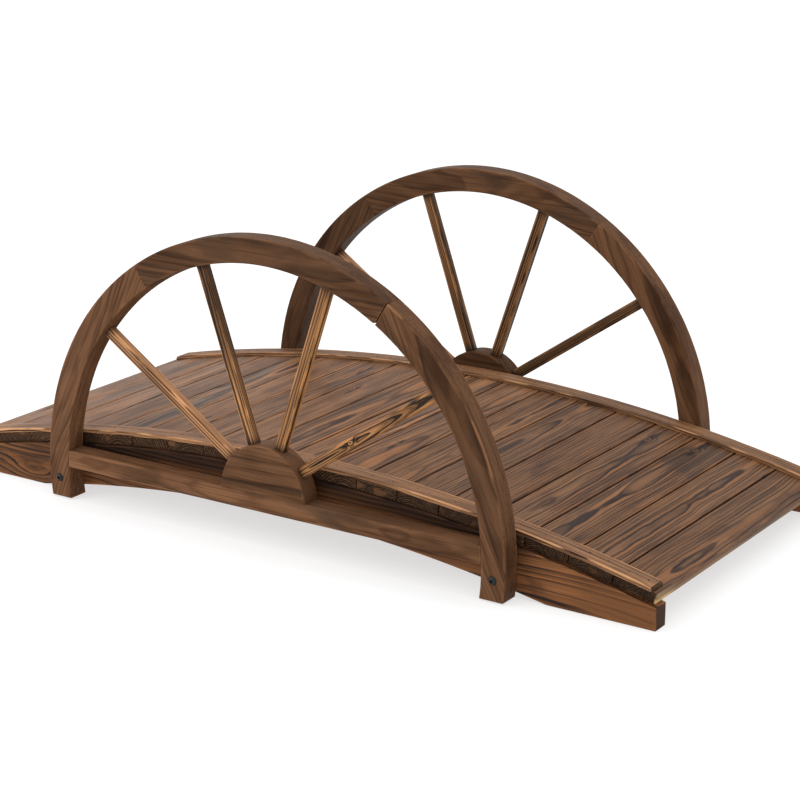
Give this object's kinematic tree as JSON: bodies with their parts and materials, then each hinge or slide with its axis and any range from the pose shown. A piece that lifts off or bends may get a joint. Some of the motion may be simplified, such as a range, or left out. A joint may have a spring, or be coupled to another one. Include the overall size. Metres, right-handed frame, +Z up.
{
  "type": "arched garden footbridge",
  "caption": "Low arched wooden garden footbridge: cross boards on arched stringers, edge strips along the deck, and a half wagon-wheel railing on each side.",
  "frame": {"origin": "on the ground, at the middle of the bridge's length and width", "axes": "+X along the walkway, +Y across it to the rear railing, +Z up"},
  "size_m": [1.33, 0.68, 0.49],
  "materials": {
    "stringer_wood": "torched and oiled, semi-matt",
    "deck_wood": "torched and oiled, semi-matt",
    "strip_wood": "torched and oiled, semi-matt",
    "rim_wood": "torched and oiled, semi-matt",
    "spoke_wood": "torched and oiled, semi-matt",
    "bolt_steel": "black oxide, satin"
  },
  "bodies": {
    "root": {"front_stringer": "stringer_wood", "rear_stringer": "stringer_wood", "deck_board_01": "deck_wood", "deck_board_02": "deck_wood", "deck_board_03": "deck_wood", "deck_board_04": "deck_wood", "deck_board_05": "deck_wood", "deck_board_06": "deck_wood", "deck_board_07": "deck_wood", "deck_board_08": "deck_wood", "deck_board_09": "deck_wood", "deck_board_10": "deck_wood", "deck_board_11": "deck_wood", "deck_board_12": "deck_wood", "deck_board_13": "deck_wood", "deck_board_14": "deck_wood", "deck_board_15": "deck_wood", "deck_board_16": "deck_wood", "deck_board_17": "deck_wood", "deck_board_18": "deck_wood", "front_edge_strip": "strip_wood", "rear_edge_strip": "strip_wood", "front_left_felloe": "rim_wood", "front_top_felloe": "rim_wood", "front_right_felloe": "rim_wood", "front_rail": "rim_wood", "front_hub": "rim_wood", "front_spoke_1": "spoke_wood", "front_spoke_2": "spoke_wood", "front_spoke_3": "spoke_wood", "front_spoke_4": "spoke_wood", "front_left_bolt": "bolt_steel", "front_right_bolt": "bolt_steel", "rear_left_felloe": "rim_wood", "rear_top_felloe": "rim_wood", "rear_right_felloe": "rim_wood", "rear_rail": "rim_wood", "rear_hub": "rim_wood", "rear_spoke_1": "spoke_wood", "rear_spoke_2": "spoke_wood", "rear_spoke_3": "spoke_wood", "rear_spoke_4": "spoke_wood", "rear_left_bolt": "bolt_steel", "rear_right_bolt": "bolt_steel"}
  },
  "joints": []
}
